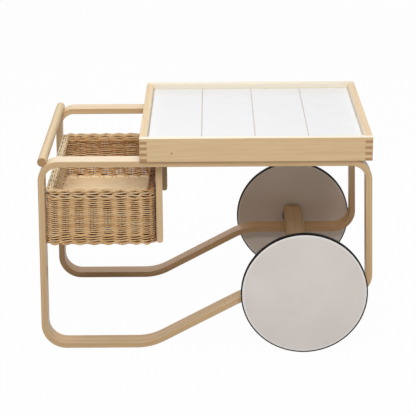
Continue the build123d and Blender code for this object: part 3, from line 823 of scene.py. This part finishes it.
wicker = {
    "straw": seen(240, 211, 168),
    "tan": seen(220, 178, 125),
    "brown": seen(182, 128, 78),
    "shaded": seen(140, 86, 50),
    "dark": seen(98, 40, 15),
    "bleachAndLight": seen(251, 232, 196),
    "wallLight": 0.2,  # share of painted light on upper faces, away from the handle end
    "rimLight": 0.5,
    "footLight": 0.15,
    "handleEnd": (14 * mm, 32 * mm),  # in from that end: all of the painted light, none of it
    "handleInnerLight": 0.6,
    "trayEnd": (30 * mm, 16 * mm),  # in from that end: none of the shading, all of it
    "trayShade": 0.9,
    "fibreRun": 26,  # noise waves to a metre along the rod
    "fibreRound": 2.4,
    "patchRun": 14,
    "knotRun": 7,
    "knotGrime": 0.4,
    "fibreGrime": 0.2,
    "sunkShade": 0.96,
    "fibreDepth": 0.3 * mm,
}


def wickerFinish(name, paintedLight):
    willow = Finish(name)
    run, ringA, ringB = willow.parts(willow.attribute("fibre", "Vector"))
    tone = willow.attribute("tone")
    shade = willow.attribute("shade")
    rounds = wicker["fibreRound"]
    # the tone also shifts the noise, so that neighbouring rods do not look alike
    fibre = willow.noise(willow.joined(run * wicker["fibreRun"], ringA * rounds + tone * 31, ringB * rounds),
                         detail=3, rough=0.6)
    patch = willow.noise(willow.joined(run * wicker["patchRun"] + tone * 57, tone * 23, 0.0))
    colour = willow.node("ShaderNodeValToRGB", {"stops": [
        (0.0, wicker["straw"]), (0.5, wicker["tan"]), (0.85, wicker["brown"]), (1.0, wicker["dark"])]},
        {"Fac": tone * 0.6 + patch * 0.3 + (fibre - 0.5) * 0.4})
    # grime on the rods' knots and fibres, and painted shade where a rod dives behind its neighbours
    knot = (run * wicker["knotRun"] + tone * 19).called("FRACT")
    ring = 1 - abs(knot - 0.5).step(0.004, 0.02)
    sunk = 1 - shade.step(-0.85, 0.1)
    lines = ring * wicker["knotGrime"] + fibre.step(0.62, 0.8) * wicker["fibreGrime"]
    grimeAndShade = lines.most(sunk * wicker["sunkShade"])
    # painted light: upper and inner faces are drawn paler, most at the handle end; painted shade darkens the
    # end under the tray; hidden rods stay dark
    low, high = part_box("basket_rim")
    x = willow.parts(willow.place())[0]
    faceX, _, faceZ = willow.parts(willow.facing())
    handleEnd = 1 - x.step(*[low.x + inset for inset in wicker["handleEnd"]])
    trayEnd = x.step(*[high.x - inset for inset in wicker["trayEnd"]])
    upper = faceZ.step(0.3, 0.85) * (paintedLight + handleEnd * (1 - paintedLight)) * (1 - trayEnd * 0.9)
    inner = faceX.step(0.2, 0.8) * handleEnd * wicker["handleInnerLight"]
    turnedIn = 1 - tone.step(-0.2, -0.05)
    pale = upper.most(inner) * (1 - tone.step(0.95, 1.1))
    shaded = trayEnd * faceX.step(-0.1, -0.6).most(faceZ.step(0.4, 0.8))
    colour = willow.mix(shaded * wicker["trayShade"], colour, wicker["shaded"])
    colour = willow.mix(pale.most(turnedIn), colour, wicker["bleachAndLight"])
    colour = willow.mix(grimeAndShade, colour, wicker["dark"])
    return willow.shade({
        "Base Color": colour,
        "Roughness": 0.46 + fibre * 0.2,
        "Specular IOR Level": 0.18,
        "Normal": willow.bump(fibre, wicker["fibreDepth"]),
    })


def weaveBasket():
    chance = random.Random(basket["seed"])
    line = BasketLine()
    wallFinish = wickerFinish("wallWillow", wicker["wallLight"])
    rimFinish = wickerFinish("rimWillow", wicker["rimLight"])
    footFinish = wickerFinish("footWillow", wicker["footLight"])
    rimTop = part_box("basket_rim")[1].z
    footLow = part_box("basket_foot_border")[0].z
    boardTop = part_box("basket_base_board")[1].z
    stations = [index / basket["samples"] for index in range(line.count * basket["samples"])]

    def wobble(stake, row, size):
        turn = 2 * math.pi * line.along(stake) / line.length
        waves = basket["wobbleWaves"]
        level = row * basket["wobbleRows"]
        return size * noise.noise((waves * math.cos(turn), waves * math.sin(turn), level))

    def rodTones():
        # rods are joined on every few stakes, so a row's tone changes on its way round
        tones = []
        while len(tones) < line.count:
            tones += [chance.random() * basket["tones"]] * chance.randint(*basket["joinStakes"])
        return tones

    def twined(rows, base, key):
        rods = []
        wobbleOut, wobbleUp = basket["twineWobble"]
        leastWay, mostWay = basket["scallopWays"]
        for number, (out, up, way, swing, lift, hand) in enumerate(rows):
            turn = math.radians(way)
            reach = 1.0 if way == 0 else basket["foldedDepth"]
            for strand in (0, 1):
                tones = rodTones()
                seed = key + number * 2 + strand
                path = []
                for stake in stations:
                    phase = math.pi * (stake + strand + number)
                    front = swing * math.cos(phase)
                    side = hand * lift * math.sin(phase)
                    away = out + front * math.cos(turn) - side * math.sin(turn)
                    away += wobble(stake, seed, wobbleOut)
                    high = up + front * math.sin(turn) + side * math.cos(turn)
                    high += wobble(stake, seed + basket["twineUpKey"], wobbleUp)
                    if leastWay < abs(way) < mostWay:
                        high += math.copysign(basket["scallop"], way) * math.cos(2 * math.pi * stake)
                    place, outward = line.point(stake, away * mm, base + high * mm)
                    facing = outward * math.cos(turn) + Vector((0, 0, math.sin(turn)))
                    path.append((place, facing, math.cos(phase) * reach, tones[int(stake)]))
                rods.append((path, basket["twineRadius"], basket["pinch"], True))
        return rods

    # stakes from border to border, drawn dark as painted shade, with thin dark rods between them as painted
    # shade in the gaps
    inner = []
    steps = basket["stakeSteps"]
    for index in range(line.count):
        path = []
        for share in range(steps + 1):
            z = footLow + basket["stakeLow"] + (rimTop - footLow - basket["stakeShort"]) * share / steps
            out = wobble(index, share * basket["stakeWobbleStep"], basket["stakeWobble"])
            place, outward = line.point(index, out, z)
            path.append((place, outward, 0.0, basket["stakeShadeTone"]))
        inner.append((path, basket["stakeRadius"], 0.0, False))
    low = footLow + basket["coreLow"]
    while low < rimTop - basket["coreHigh"]:
        core = [line.point(stake, basket["coreOut"], low) for stake in stations[::2]]
        inner.append(([(*spot, 0.0, basket["coreShadeTone"]) for spot in core], basket["coreRadius"], 0.0, True))
        low += basket["weaverPitch"]
    buildRods("basketStakes", inner, basket["rodSides"], wallFinish, "basket_woven_wall")

    # the fine wall: each row goes before one stake and behind the next
    wall = []
    start = footLow + basket["footBand"]
    height = rimTop - basket["rimBand"] - start
    rows = int(height / basket["weaverPitch"])
    wobbleOut, wobbleUp = basket["weaverWobble"]
    for row in range(rows):
        tones = rodTones()
        path = []
        for stake in stations:
            turn = math.cos(math.pi * (stake + row))
            swing = turn * abs(turn)  # rods lie flat for longer between the stakes
            out = basket["weaverOut"] + basket["weaverSwing"] * swing + wobble(stake, row, wobbleOut)
            z = start + (row + 0.5) * height / rows
            z += wobble(stake, row + basket["weaverUpKey"], wobbleUp)
            place, outward = line.point(stake, out, z)
            path.append((place, outward, swing, tones[int(stake)]))
        wall.append((path, basket["weaverRadius"], basket["pinch"], True))
    buildRods("basketWeave", wall, basket["rodSides"], wallFinish, "basket_woven_wall")

    rim = twined(basket["rimRows"], rimTop, basket["rimKey"])
    buildRods("basketRim", rim, basket["twineSides"], rimFinish, "basket_rim")

    foot = twined(basket["footRows"], footLow, basket["footKey"])
    leastReach, moreReach = basket["turnInReach"]
    for index in range(line.count):
        tone = chance.random() * basket["curlTones"]
        path = []
        for step, out, up in basket["curl"]:
            place, outward = line.point(index + step, out * mm, footLow + up * mm)
            path.append((place, outward, basket["curlDepth"], tone))
        foot.append((path, basket["twineRadius"], 0.0, False))
        reach = leastReach + moreReach * chance.random()
        for out, high in basket["turnInRows"]:
            path = []
            for step, share in basket["turnIn"]:
                rise = basket["turnInLift"] + high * share * reach
                place, outward = line.point(index + step, out * mm, boardTop + rise * mm)
                path.append((place, outward * -1, 0.0, basket["turnInTone"]))
            foot.append((path, basket["turnInRadius"], 0.0, False))
    buildRods("basketFoot", foot, basket["twineSides"], footFinish, "basket_foot_border")


weaveBasket()
print("basket woven")
